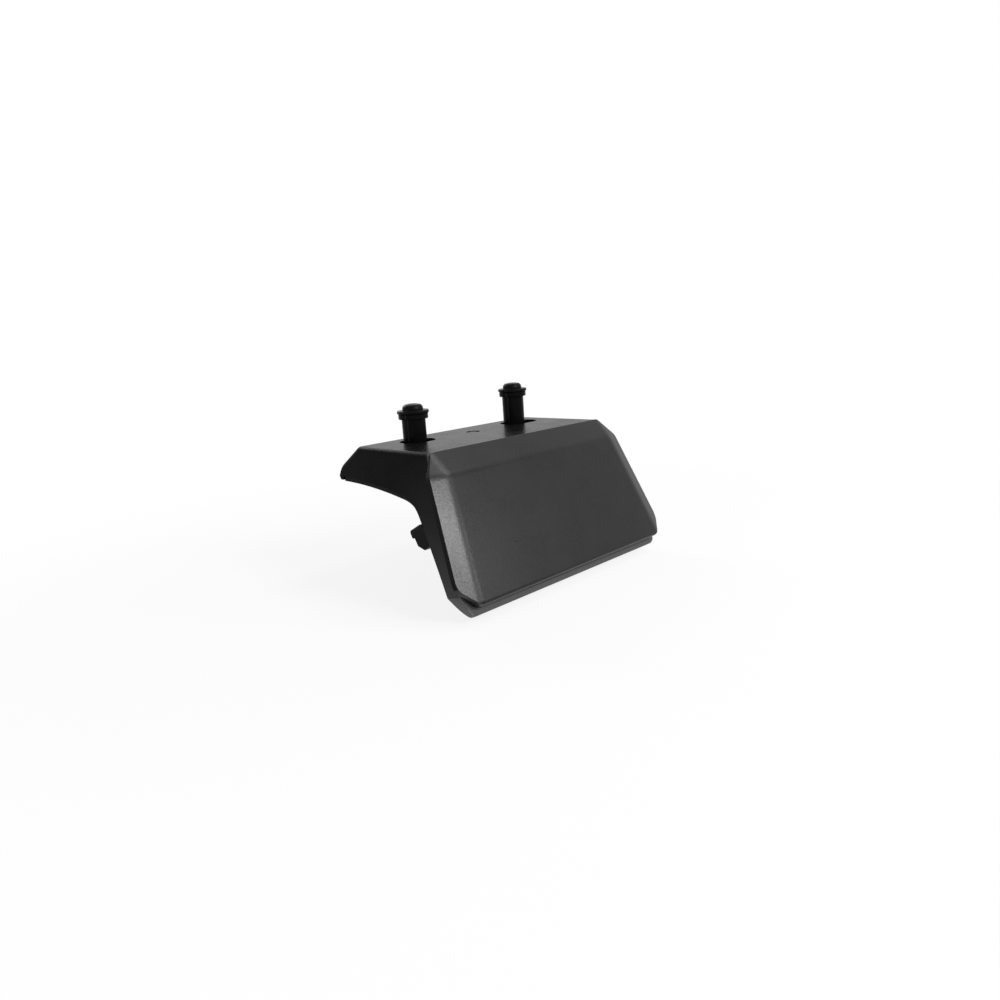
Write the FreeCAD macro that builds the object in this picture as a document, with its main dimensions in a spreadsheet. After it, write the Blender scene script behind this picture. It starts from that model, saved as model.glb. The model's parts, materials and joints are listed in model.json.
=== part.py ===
import FreeCAD, Part
import math
import os
import Sketcher

# Roof rack mount: a hollow leg casting with a flat deck, an arm that rests on a roof rail,
# a moulded cover over its open front, two T-head posts on the deck and a hooked rail clamp.
# Frame: origin midway between the posts on the deck's top face, X along the rail,
# +Y from the cover towards the rail, +Z up.  Millimetres.

SIZES = [
    # Deck and arm
    ("post_spacing", 74.0),
    ("deck_front", 38.6),
    ("deck_back", 15.0),
    ("deck_thickness", 5.0),
    ("deck_half_width", 63.4),
    ("arm_half_width", 62.3),
    ("nose_slope_back", 28.6),
    ("nose_slope_drop", 9.0),
    ("nose_back", 32.3),
    ("nose_drop", 17.8),
    ("nose_lip", 3.2),
    ("nose_tip_face", 2.0),
    ("nose_tip_chamfer", 1.0),
    ("deck_edge_round", 2.6),
    ("wall", 4.0),
    ("saddle_wall", 3.0),
    # Saddle: a long arc over the rail that tightens into the leg's back
    ("saddle_crown_back", 33.7),
    ("saddle_crown_drop", 16.0),
    ("saddle_radius", 260.0),
    ("saddle_turn", 11.7),
    ("saddle_corner_radius", 18.0),
    ("pad_thickness", 2.4),
    ("pad_half_width", 61.8),
    ("pad_leg_reach", 4.0),
    ("pad_stud_spacing", 60.0),
    ("pad_stud_back", 13.0),
    ("pad_stud_diameter", 5.0),
    # Leg and its open front
    ("leg_back_lean", 29.0),
    ("panel_lean", 24.3),
    ("leg_length", 75.6),
    ("leg_side_length", 60.4),
    ("leg_half_width", 73.6),
    ("leg_back_half_width", 42.0),
    ("leg_taper_depth", 80.0),
    ("leg_corner_rise", 10.0),
    ("leg_corner_run", 4.6),
    ("leg_back_corner_rise", 18.0),
    ("leg_back_corner_run", 14.0),
    ("leg_heel_round", 8.0),
    ("rim_round", 2.2),
    ("rib_spacing", 28.0),
    ("rib_thickness", 3.0),
    # Front cover
    ("cover_gap", 0.3),
    ("cover_foot_strip", 3.4),
    ("cover_rim", 3.2),
    ("cover_flat", 5.9),
    ("cover_wall", 2.5),
    ("cover_brow", 1.2),
    ("cover_top_inset", 1.4),
    ("cover_shoulder", 11.6),
    ("cover_shoulder_overhang", 4.14),
    ("cover_foot_overhang", 3.2),
    ("cover_corner_rise", 10.0),
    ("cover_corner_run", 8.8),
    ("cover_corner_round", 7.0),
    ("cover_foot_round", 4.0),
    ("cover_top_bevel", 12.9),
    ("cover_side_bevel", 9.0),
    ("cover_bottom_roll", 1.6),
    ("cover_crease_round", 4.0),
    ("tongue_spacing", 84.0),
    ("tongue_width", 14.0),
    ("tongue_thickness", 2.0),
    ("tongue_reach", 9.0),
    # Posts
    ("deck_hole", 16.0),
    ("left_slot_run", 3.0),
    ("right_slot_run", 7.0),
    ("bolt_diameter", 6.0),
    ("thread_clearance", 0.05),
    ("bolt_length", 30.0),
    ("bolt_head_diameter", 10.5),
    ("bolt_head_height", 3.1),
    ("dome_rim", 0.3),
    ("dome_crown", 0.55),
    ("screw_tip", 0.8),
    ("edge_break", 0.3),
    ("bolt_socket", 4.0),
    ("bolt_socket_depth", 2.0),
    ("post_washer_diameter", 16.0),
    ("post_washer_thickness", 1.6),
    ("sleeve_diameter", 12.0),
    ("sleeve_bore", 6.15),
    ("sleeve_flange_diameter", 15.0),
    ("sleeve_flange_thickness", 2.7),
    ("sleeve_barrel", 16.4),
    ("right_post_lift", 3.8),
    ("post_nut_width", 18.0),
    ("post_nut_height", 7.0),
    # Nut strap and its screw
    ("strap_thickness", 1.2),
    ("strap_width", 16.0),
    ("strap_clearance", 0.1),
    ("strap_tip_hole", 7.0),
    ("deck_screw_forward", 4.0),
    ("deck_screw_diameter", 3.5),
    ("deck_screw_length", 9.0),
    ("deck_screw_head_diameter", 6.7),
    ("deck_screw_head_height", 1.9),
    ("deck_screw_recess", 0.2),
    ("hole_clearance", 0.3),
    # Clamp
    ("clamp_screw_spacing", 56.0),
    ("clamp_axis_drop", 9.75),
    ("clamp_screw_length", 25.0),
    ("clamp_head_diameter", 10.0),
    ("clamp_head_height", 6.0),
    ("clamp_head_chamfer", 0.6),
    ("clamp_socket", 5.0),
    ("clamp_socket_depth", 3.0),
    ("clamp_washer_diameter", 12.0),
    ("clamp_washer_thickness", 1.6),
    ("clamp_nut_width", 10.0),
    ("clamp_nut_height", 5.0),
    ("jaw_gap", 3.0),
    ("jaw_half_width", 60.0),
    ("jaw_depth", 12.0),
    ("jaw_nut_cover", 1.0),
    ("jaw_top", 5.5),
    ("jaw_bottom", 13.4),
    ("jaw_lip_top", 3.0),
    ("jaw_lip_thickness", 7.0),
    ("jaw_chamfer", 3.5),
    ("jaw_pad_thickness", 1.5),
    ("jaw_pad_skirt", 2.5),
    ("jaw_pad_round", 1.4),
]

doc = FreeCAD.newDocument("roof_rack_mount")
sheet = doc.addObject("Spreadsheet::Sheet", "sizes")
for row, (alias, value) in enumerate(SIZES, start=1):
    sheet.set(f"A{row}", alias)
    sheet.set(f"B{row}", str(value))
    sheet.setAlias(f"B{row}", alias)
doc.recompute()

SUBPARTS = []
NEAR = 0.01


def bind(obj, **expressions):
    """Ties properties to the sheet; a double underscore stands for a dot."""
    for prop, expression in expressions.items():
        obj.setExpression(prop.replace("__", "."), expression)


def number(expression):
    """The present value of an expression on the sheet."""
    return float(sheet.evalExpression(expression))


def keep(obj, label):
    """Marks a finished piece, which is written to a file of this name."""
    obj.Label = label
    SUBPARTS.append(obj)
    return obj


def arc_middle(first, last, radius, side):
    """A point halfway along the short arc from first to last, bulging to the given side."""
    middle = (first + last) * 0.5
    chord = last - first
    half = chord.Length / 2
    rise = radius - math.sqrt(radius * radius - half * half)
    left = FreeCAD.Vector(-chord.y, chord.x, 0).normalize()
    return middle + left * (rise * side)


def draw(sketch, points, arcs=None):
    """A closed outline through points given as expressions; arcs maps a start index to
    (radius expression, side of the bulge: 1 left, -1 right)."""
    arcs = arcs or {}
    count = len(points)
    places = [FreeCAD.Vector(number(x), number(y), 0) for x, y in points]
    starts = []
    for index in range(count):
        first = places[index]
        last = places[(index + 1) % count]
        if index in arcs:
            radius, side = arcs[index]
            middle = arc_middle(first, last, number(radius), side)
            geometry = sketch.addGeometry(Part.Arc(first, middle, last), False)
            forward = sketch.getPoint(geometry, 1).distanceToPoint(first) < 1e-6
            starts.append((geometry, 1 if forward else 2))
            curve = sketch.addConstraint(Sketcher.Constraint("Radius", geometry, number(radius)))
            sketch.setExpression(f"Constraints[{curve}]", radius)
        else:
            geometry = sketch.addGeometry(Part.LineSegment(first, last), False)
            starts.append((geometry, 1))
    for index in range(count):
        geometry, start = starts[index]
        following, following_start = starts[(index + 1) % count]
        sketch.addConstraint(
            Sketcher.Constraint("Coincident", geometry, 3 - start, following, following_start))
        for kind, expression in zip(("DistanceX", "DistanceY"), points[index]):
            distance = sketch.addConstraint(
                Sketcher.Constraint(kind, -1, 1, geometry, start, number(expression)))
            sketch.setExpression(f"Constraints[{distance}]", expression)
    return sketch


def circle(sketch, x, y, radius):
    """A circle whose middle and radius are expressions."""
    middle = FreeCAD.Vector(number(x), number(y), 0)
    geometry = sketch.addGeometry(
        Part.Circle(middle, FreeCAD.Vector(0, 0, 1), number(radius)), False)
    sketch.addConstraint(Sketcher.Constraint("Radius", geometry, number(radius)))
    sketch.addConstraint(Sketcher.Constraint("DistanceX", -1, 1, geometry, 3, middle.x))
    sketch.addConstraint(Sketcher.Constraint("DistanceY", -1, 1, geometry, 3, middle.y))
    first = sketch.ConstraintCount - 3
    for offset, expression in enumerate((radius, x, y)):
        sketch.setExpression(f"Constraints[{first + offset}]", expression)
    return sketch


def rectangle(x_low, x_high, y_low, y_high):
    """Corner expressions of a rectangle."""
    return [(x_low, y_low), (x_high, y_low), (x_high, y_high), (x_low, y_high)]


def hexagon(across_flats):
    """Corner expressions of a hexagon round the origin."""
    corner = f"({across_flats}) / 2 / cos(30)"
    return [(f"{corner} * cos({60 * k})", f"{corner} * sin({60 * k})") for k in range(6)]


def body(name):
    """An empty body."""
    return doc.addObject("PartDesign::Body", name)


def sketch_in(owner, name, role, lift="0"):
    """A sketch on one of a body's origin planes, raised along the plane's normal."""
    plane = next(f for f in owner.Origin.OriginFeatures if f.Role == role)
    sketch = owner.newObject("Sketcher::SketchObject", name)
    sketch.AttachmentSupport = [(plane, "")]
    sketch.MapMode = "FlatFace"
    sketch.setExpression("AttachmentOffset.Base.z", lift)
    return sketch


def pad(owner, name, sketch, length, both_ways=False):
    """A pad of a sketch."""
    feature = owner.newObject("PartDesign::Pad", name)
    feature.Profile = sketch
    feature.setExpression("Length", length)
    feature.SideType = "Symmetric" if both_ways else "One side"
    return feature


def pocket(owner, name, sketch, length, upward=False, both_ways=False):
    """A pocket of a sketch, cut against the sketch's normal unless upward."""
    feature = owner.newObject("PartDesign::Pocket", name)
    feature.Profile = sketch
    feature.setExpression("Length", length)
    feature.SideType = "Symmetric" if both_ways else "One side"
    feature.Reversed = upward
    return feature


def turned(name, profile):
    """A body turned about its own Z axis from a half section of (radius, height) points."""
    owner = body(name)
    sketch = draw(sketch_in(owner, name + "_section", "XZ_Plane"), profile)
    feature = owner.newObject("PartDesign::Revolution", name + "_turned")
    feature.Profile = sketch
    feature.ReferenceAxis = (sketch, ["V_Axis"])
    feature.Angle = 360
    return owner


def place(obj, x="0", y="0", z="0", angle=None):
    """Binds a piece's place, and its turn about X where it leans."""
    bind(obj, Placement__Base__x=x, Placement__Base__y=y, Placement__Base__z=z)
    if angle:
        obj.Placement = FreeCAD.Placement(
            obj.Placement.Base, FreeCAD.Rotation(FreeCAD.Vector(1, 0, 0), number(angle)))
        bind(obj, Placement__Rotation__Angle=angle)
    return obj


def free_sketch(name, points, arcs=None, side_view=False):
    """A sketch that stands by itself, in the XY plane or in the YZ plane."""
    sketch = doc.addObject("Sketcher::SketchObject", name)
    if side_view:
        sketch.Placement = FreeCAD.Placement(
            FreeCAD.Vector(), FreeCAD.Rotation(FreeCAD.Vector(1, 1, 1), 120))
    return draw(sketch, points, arcs)


def prism(name, sketch, half_length):
    """A sketch extruded to both sides of its plane."""
    solid = doc.addObject("Part::Extrusion", name)
    solid.Base = sketch
    solid.DirMode = "Normal"
    solid.Solid = True
    bind(solid, LengthFwd=half_length, LengthRev=half_length)
    return solid


def combine(kind, name, base, tool):
    """A boolean of two solids."""
    result = doc.addObject(f"Part::{kind}", name)
    result.Base = base
    result.Tool = tool
    return result


def join(name, solids):
    """A union of several solids."""
    result = doc.addObject("Part::MultiFuse", name)
    result.Shapes = solids
    return result


def block(name, x_low, x_high, y_low, y_high, z_low, z_high):
    """A box between limits given as expressions."""
    box = doc.addObject("Part::Box", name)
    bind(box, Length=f"({x_high}) - ({x_low})", Width=f"({y_high}) - ({y_low})",
         Height=f"({z_high}) - ({z_low})")
    return place(box, x_low, y_low, z_low)


def rod(name, radius, length, x="0", y="0", z="0", angle=None):
    """A cylinder along Z, or leaning by an angle about X."""
    cylinder = doc.addObject("Part::Cylinder", name)
    bind(cylinder, Radius=radius, Height=length)
    return place(cylinder, x, y, z, angle)


def edges_where(shape, test):
    """Numbers of the edges whose middle passes a test."""
    found = []
    for index, edge in enumerate(shape.Edges, start=1):
        middle = edge.valueAt((edge.FirstParameter + edge.LastParameter) / 2)
        if test(edge, middle):
            found.append(index)
    return found


def rounded(name, base, rounds):
    """Fillets on a solid: each entry is a radius and a test that picks its edges."""
    doc.recompute()
    fillet = doc.addObject("Part::Fillet", name)
    fillet.Base = base
    picked = []
    for radius, test in rounds:
        picked += [(index, radius, radius) for index in edges_where(base.Shape, test)]
    fillet.Edges = picked
    return fillet


# Places shared by the casting, the pad and the clamp, as expressions on the sheet

CROWN_Y = "sizes.saddle_crown_back"
CROWN_Z = "(-sizes.saddle_crown_drop - sizes.saddle_radius)"
CORNER_Y = ("(sizes.saddle_crown_back - (sizes.saddle_radius - sizes.saddle_corner_radius)"
            " * sin(sizes.saddle_turn))")
CORNER_Z = ("(-sizes.saddle_crown_drop - sizes.saddle_radius"
            " + (sizes.saddle_radius - sizes.saddle_corner_radius) * cos(sizes.saddle_turn))")
LEG_TURN = "(90 - sizes.leg_back_lean)"


def arc_point(middle_y, middle_z, radius, turn):
    """A point on an arc of the saddle; turn is the slope there."""
    return (f"{middle_y} - ({radius}) * sin({turn})", f"{middle_z} + ({radius}) * cos({turn})")


def saddle_points(inset, nose_y):
    """Nose end, corner start and corner end of the saddle, moved into the arm by inset."""
    radius = f"(sizes.saddle_radius + ({inset}))"
    corner = f"(sizes.saddle_corner_radius + ({inset}))"
    nose_z = f"{CROWN_Z} + sqrt({radius}^2 - ({CROWN_Y} - ({nose_y}))^2)"
    return [
        (nose_y, nose_z),
        arc_point(CROWN_Y, CROWN_Z, radius, "sizes.saddle_turn"),
        arc_point(CORNER_Y, CORNER_Z, corner, LEG_TURN),
    ]


def saddle_arcs(inset, start):
    """The two arcs of the saddle, for an outline that enters it at index start."""
    return {
        start: (f"sizes.saddle_radius + ({inset})", -1),
        start + 1: (f"sizes.saddle_corner_radius + ({inset})", -1),
    }


def panel_point(down, out):
    """A point of the leaning front: down along it from the deck's front edge, and out of it."""
    return (f"-sizes.deck_front - sin(sizes.panel_lean) * ({down})"
            f" - cos(sizes.panel_lean) * ({out})",
            f"-cos(sizes.panel_lean) * ({down}) + sin(sizes.panel_lean) * ({out})")


def heel_point(inset_back, inset_bottom):
    """Where the leg's back meets its bottom, both moved inwards."""
    back_y, back_z = arc_point(CORNER_Y, CORNER_Z,
                               f"sizes.saddle_corner_radius + ({inset_back})", LEG_TURN)
    foot_y, foot_z = panel_point(f"sizes.leg_length - ({inset_bottom})", "0")
    swing = "(sizes.leg_back_lean - sizes.panel_lean)"
    step = (f"((({back_y}) - ({foot_y})) * cos(sizes.leg_back_lean)"
            f" - (({back_z}) - ({foot_z})) * sin(sizes.leg_back_lean)) / cos({swing})")
    return (f"({foot_y}) + cos(sizes.panel_lean) * ({step})",
            f"({foot_z}) - sin(sizes.panel_lean) * ({step})")


def heel_ends():
    """Ends of the round between the leg's back and its bottom."""
    y, z = heel_point("0", "0")
    run = ("sizes.leg_heel_round"
           " * tan(45 - (sizes.leg_back_lean - sizes.panel_lean) / 2)")
    return [
        (f"{y} + sin(sizes.leg_back_lean) * {run}", f"{z} + cos(sizes.leg_back_lean) * {run}"),
        (f"{y} - cos(sizes.panel_lean) * {run}", f"{z} + sin(sizes.panel_lean) * {run}"),
    ]


LEG_ORIGIN_Y, LEG_ORIGIN_Z = arc_point(CORNER_Y, CORNER_Z, "sizes.saddle_corner_radius", LEG_TURN)
PANEL_TURN = "(90 - sizes.panel_lean)"
CLAMP_TURN = "(90 - sizes.leg_back_lean)"
SLEEVE_TOP = "sizes.sleeve_barrel + sizes.sleeve_flange_thickness - sizes.deck_thickness"
JAW_NUT_OUT = ("sizes.jaw_gap + sizes.jaw_depth - sizes.jaw_nut_cover"
               " - sizes.clamp_nut_height")
POST_SIDES = (("left", "-sizes.post_spacing / 2", "0"),
              ("right", "sizes.post_spacing / 2", "sizes.right_post_lift"))
CLAMP_SIDES = (("left", "-sizes.clamp_screw_spacing / 2"),
               ("right", "sizes.clamp_screw_spacing / 2"))


def mirrored(points):
    """A right-hand run of points closed by its mirror image."""
    return points + [(f"-({x})", y) for x, y in reversed(points)]


def outline_front(name, upper, lower, rise, run, out, inset):
    """Front outline of the leg, with chamfered lower corners, on a plane parallel to its front."""
    slope = f"((({lower}) - ({upper})) / sizes.leg_side_length)"
    reach = f"sqrt({rise}^2 + {run}^2)"
    start = f"(sizes.leg_length - {rise})"
    corner = f"({start} - ({inset}) * ({reach} - {rise}) / ({slope} * {rise} + {run}))"
    foot_x = f"({upper}) + {slope} * {start} - {run} - ({inset}) * ({reach} - {run}) / {rise}"
    points = mirrored([
        (f"({upper}) - ({inset})", "sizes.leg_length / 2"),
        (f"({upper}) - ({inset})", "0"),
        (f"({upper}) - ({inset}) + {slope} * {corner}", f"-{corner}"),
        (foot_x, f"({inset}) - sizes.leg_length"),
    ])
    origin_y, origin_z = panel_point("0", out)
    return place(free_sketch(name, points), "0", origin_y, origin_z, PANEL_TURN)


def leg_form(name, inset):
    """The tapering form between the leg's side walls, moved inwards by inset."""
    form = doc.addObject("Part::Loft", name)
    form.Sections = [
        outline_front(name + "_front", "sizes.deck_half_width", "sizes.leg_half_width",
                      "sizes.leg_corner_rise", "sizes.leg_corner_run", "0", inset),
        outline_front(name + "_back", "sizes.arm_half_width", "sizes.leg_back_half_width",
                      "sizes.leg_back_corner_rise", "sizes.leg_back_corner_run",
                      "-sizes.leg_taper_depth", inset),
    ]
    form.Solid = True
    form.Ruled = True
    return form


def leg_casting():
    """Deck, arm, saddle, webs and leg as one hollow casting, open at the front."""
    recess_y = "sizes.nose_back - sizes.nose_lip"
    outer = [
        panel_point("0", "0"),
        ("sizes.deck_back", "0"),
        ("sizes.nose_slope_back", "-sizes.nose_slope_drop"),
        ("sizes.nose_back", "-sizes.nose_drop + sizes.nose_tip_face"),
        ("sizes.nose_back - sizes.nose_tip_chamfer", "-sizes.nose_drop"),
        (recess_y, "-sizes.nose_drop"),
    ]
    entry = len(outer)
    outer += saddle_points("0", recess_y)
    arcs = saddle_arcs("0", entry)
    arcs[len(outer)] = ("sizes.leg_heel_round", 1)
    outer += heel_ends()
    outer.append(panel_point("sizes.leg_length", "0"))
    side = prism("casting_side", free_sketch("casting_profile", outer, arcs, side_view=True),
                 "sizes.leg_half_width * 2")
    blank = combine("Common", "casting_blank", side, leg_form("casting_form", "0"))

    cavity_y = "sizes.deck_back + sizes.wall"
    inner = [
        panel_point("sizes.deck_thickness / cos(sizes.panel_lean)", "0"),
        ("sizes.deck_back - sizes.wall", "-sizes.deck_thickness"),
    ]
    entry = len(inner)
    inner += saddle_points("sizes.saddle_wall", cavity_y)
    inner += [heel_point("sizes.wall", "sizes.wall"),
              panel_point("sizes.leg_length - sizes.wall", "0"),
              panel_point("sizes.leg_length - sizes.wall", "sizes.wall"),
              panel_point("sizes.deck_thickness / cos(sizes.panel_lean)", "sizes.wall")]
    hollow = combine(
        "Common", "casting_hollow",
        prism("hollow_side", free_sketch("hollow_profile", inner,
                                         saddle_arcs("sizes.saddle_wall", entry),
                                         side_view=True), "sizes.leg_half_width * 2"),
        leg_form("hollow_form", "sizes.wall"))

    half_rib = "sizes.rib_thickness / 2"
    reach = "sizes.leg_length * 2"
    ribs = []
    for side, sign in (("left", "-"), ("right", "")):
        middle = f"{sign}sizes.rib_spacing / 2"
        ribs.append(block(f"rib_{side}", f"{middle} - {half_rib}", f"{middle} + {half_rib}",
                          f"-{reach}", reach, f"-{reach}", "0"))
    hollow = combine("Cut", "casting_chambers", hollow, join("casting_ribs", ribs))
    shell = combine("Cut", "casting_shell", casting_rounds(blank), hollow)
    drilled = combine("Cut", "casting_drilled", shell, join("casting_holes", casting_holes()))
    return keep(drilled, "leg_casting")


def casting_rounds(blank):
    """Soft edges of the deck, the nose and the open front's bottom rim."""
    half_width = number("sizes.deck_half_width")
    slope_back = number("sizes.nose_slope_back")
    slope_drop = number("sizes.nose_slope_drop")
    deck_back = number("sizes.deck_back")
    foot_y, foot_z = (number(distance) for distance in panel_point("sizes.leg_length", "0"))

    def deck_rim(edge, middle):
        return abs(middle.z) < NEAR and (abs(middle.x) > 0.8 * half_width
                                         or abs(middle.y - deck_back) < NEAR)

    def nose_rim(edge, middle):
        return (abs(middle.x) > 0.8 * half_width
                and deck_back < middle.y < slope_back and -slope_drop < middle.z < -NEAR)

    def nose_brow(edge, middle):
        return abs(middle.y - slope_back) < NEAR and abs(middle.z + slope_drop) < NEAR

    def foot(edge, middle):
        return abs(middle.y - foot_y) < NEAR and abs(middle.z - foot_z) < NEAR

    edge_round = number("sizes.deck_edge_round")
    return rounded("casting_rounded", blank, [
        (edge_round, deck_rim),
        (edge_round, nose_rim),
        (edge_round, nose_brow),
        (number("sizes.rim_round"), foot),
    ])


def casting_holes():
    """Deck slots, stud holes in the saddle, clamp holes in the leg's back and the strap notch."""
    holes = []
    through = "sizes.deck_thickness * 2"
    for side, x, lift in POST_SIDES:
        end = f"{x} + sizes.{side}_slot_run"
        for name, place_x in (("near", x), ("far", end)):
            holes.append(rod(f"deck_slot_{side}_{name}", "sizes.deck_hole / 2", through, place_x,
                             "0", "-sizes.deck_thickness * 1.5"))
        holes.append(block(f"deck_slot_{side}", x, end, "-sizes.deck_hole / 2",
                           "sizes.deck_hole / 2", "-sizes.deck_thickness * 1.5",
                           "sizes.deck_thickness / 2"))
    holes.append(rod("deck_screw_hole", "(sizes.deck_screw_diameter + sizes.hole_clearance) / 2",
                     through, "0", "-sizes.deck_screw_forward", "-sizes.deck_thickness * 1.5"))
    holes.append(rod("deck_screw_counterbore",
                     "sizes.deck_screw_head_diameter / 2 + sizes.hole_clearance",
                     "sizes.deck_thickness", "0", "-sizes.deck_screw_forward",
                     "-sizes.deck_screw_head_height - sizes.deck_screw_recess"))
    for side, sign in (("left", "-"), ("right", "")):
        holes.append(rod(f"stud_hole_{side}",
                         "(sizes.pad_stud_diameter + sizes.hole_clearance) / 2",
                         "sizes.saddle_wall * 3", f"{sign}sizes.pad_stud_spacing / 2",
                         "sizes.pad_stud_back", "-sizes.saddle_crown_drop - sizes.saddle_wall"))
    for side, x in CLAMP_SIDES:
        start_y, start_z = clamp_point("sizes.wall", "-sizes.clamp_axis_drop")
        holes.append(rod(f"clamp_hole_{side}", "sizes.bolt_diameter / 2 + sizes.hole_clearance",
                         "sizes.wall * 3", x, start_y, start_z, CLAMP_TURN))
    half_notch = "(sizes.strap_width / 2 + sizes.hole_clearance)"
    holes.append(block("strap_notch", "-sizes.rib_spacing", "sizes.rib_spacing",
                       f"-{half_notch}", half_notch,
                       "-sizes.deck_thickness - sizes.strap_thickness - sizes.hole_clearance",
                       "-sizes.deck_thickness"))
    return holes


def clamp_point(out, up):
    """A point given out of the leg's back and up along it from the saddle's end."""
    return (f"{LEG_ORIGIN_Y} + cos(sizes.leg_back_lean) * ({out})"
            f" + sin(sizes.leg_back_lean) * ({up})",
            f"{LEG_ORIGIN_Z} - sin(sizes.leg_back_lean) * ({out})"
            f" + cos(sizes.leg_back_lean) * ({up})")


def saddle_pad():
    """Rubber lining of the saddle, held by two studs through the saddle wall."""
    nose_y = "sizes.nose_back - sizes.nose_lip - sizes.hole_clearance"
    upper = saddle_points("0", nose_y)
    lower = saddle_points("-sizes.pad_thickness", nose_y)
    end = [clamp_point("0", "-sizes.pad_leg_reach"),
           clamp_point("sizes.pad_thickness", "-sizes.pad_leg_reach")]
    arcs = saddle_arcs("0", 0)
    arcs[5] = ("sizes.saddle_corner_radius - sizes.pad_thickness", 1)
    arcs[6] = ("sizes.saddle_radius - sizes.pad_thickness", 1)
    sheet_form = prism("pad_sheet", free_sketch("pad_profile", upper + end + lower[::-1], arcs,
                                                side_view=True), "sizes.pad_half_width")
    studs = [rod(f"pad_stud_{side}", "sizes.pad_stud_diameter / 2",
                 "sizes.saddle_wall + sizes.pad_thickness", f"{sign}sizes.pad_stud_spacing / 2",
                 "sizes.pad_stud_back", "-sizes.saddle_crown_drop - sizes.pad_thickness")
             for side, sign in (("left", "-"), ("right", ""))]
    return keep(join("pad_with_studs", [sheet_form] + studs), "saddle_pad")


COVER_LENGTH = "(sizes.leg_length - sizes.cover_foot_strip)"
COVER_CORNER = f"({COVER_LENGTH} - sizes.cover_corner_rise)"
LEG_WIDENING = "(sizes.leg_half_width - sizes.deck_half_width)"
COVER_SHOULDER_X = ("(sizes.deck_half_width + sizes.cover_shoulder_overhang"
                    f" + {LEG_WIDENING} * sizes.cover_shoulder / sizes.leg_side_length)")


COVER_SLOPE = (f"((sizes.leg_half_width + sizes.cover_foot_overhang - {COVER_SHOULDER_X})"
               " / (sizes.leg_side_length - sizes.cover_shoulder))")
COVER_LEAN = f"atan({COVER_SLOPE})"


def cover_edge_x(down):
    """Half width of the cover's straight side at a distance down the panel."""
    return f"({COVER_SHOULDER_X} + {COVER_SLOPE} * ({down} - sizes.cover_shoulder))"


COVER_FOOT_X = f"({cover_edge_x(COVER_CORNER)} - sizes.cover_corner_run)"


def front_cover():
    """Moulded pillow cover: flat middle, bevelled top and sides, hollow behind, four tongues."""
    owner = body("front_cover_body")
    outline = mirrored([
        ("sizes.deck_half_width - sizes.cover_top_inset", "-sizes.cover_gap"),
        (COVER_SHOULDER_X, "-sizes.cover_shoulder"),
        (cover_edge_x(COVER_CORNER), f"-{COVER_CORNER}"),
        (COVER_FOOT_X, f"-{COVER_LENGTH}"),
    ])
    sketch = draw(sketch_in(owner, "cover_outline", "XY_Plane", "sizes.cover_gap"), outline)
    pad(owner, "cover_blank", sketch, "sizes.cover_flat - sizes.cover_gap")
    cover_corners(owner)

    above = "sizes.cover_flat * 2"
    bevel = draw(sketch_in(owner, "cover_top_bevel_side", "YZ_Plane"), [
        ("-sizes.cover_top_bevel", "sizes.cover_flat"), ("-sizes.cover_gap", "sizes.cover_brow"),
        ("sizes.cover_flat", "sizes.cover_brow"), ("sizes.cover_flat", above),
        ("-sizes.cover_top_bevel", above)])
    pocket(owner, "cover_top_bevel_cut", bevel, "sizes.leg_half_width * 4", both_ways=True)

    narrowing = f"cos({COVER_LEAN})"
    inside = f"-2 * sizes.cover_side_bevel * {narrowing}"
    outside = f"sizes.cover_side_bevel * {narrowing}"
    corners = [(inside, "sizes.cover_flat * 2 - sizes.cover_rim"),
               (outside, "sizes.cover_rim * 2 - sizes.cover_flat"),
               (outside, above),
               (inside, above)]
    for side, sign in (("left", "-"), ("right", "")):
        bevel = sketch_in(owner, f"cover_bevel_{side}_section", "XZ_Plane")
        bevel.AttachmentOffset = FreeCAD.Placement(
            FreeCAD.Vector(), FreeCAD.Rotation(FreeCAD.Vector(0, 1, 0), 1))
        bind(bevel, AttachmentOffset__Base__x=f"{sign}{cover_edge_x('0')}",
             AttachmentOffset__Rotation__Angle=f"{sign}{COVER_LEAN}")
        draw(bevel, [(f"{sign}({x})", z) for x, z in corners])
        pocket(owner, f"cover_bevel_{side}_cut", bevel, "sizes.leg_length * 4", both_ways=True)
    cover_rounds(owner)
    cover_hollow(owner)
    cover_tongues(owner)
    place(owner, "0", "-sizes.deck_front", "0", PANEL_TURN)
    return keep(owner, "front_cover")


def soften(owner, name, radius, test):
    """A fillet in a body on the edges that pass a test."""
    doc.recompute()
    base = owner.Tip
    feature = owner.newObject("PartDesign::Fillet", name)
    feature.Base = (base, [f"Edge{index}" for index in edges_where(base.Shape, test)])
    feature.setExpression("Radius", radius)


def cover_corners(owner):
    """Rounds at both ends of the chamfers on the cover's lower corners."""
    for name, radius, down in (("cover_corner_soft", "sizes.cover_corner_round", COVER_CORNER),
                               ("cover_foot_soft", "sizes.cover_foot_round", COVER_LENGTH)):
        level = -number(down)
        soften(owner, name, radius,
               lambda edge, middle: abs(middle.y - level) < NEAR
               and edge.tangentAt(edge.FirstParameter).z ** 2 > 1 - NEAR)


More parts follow.
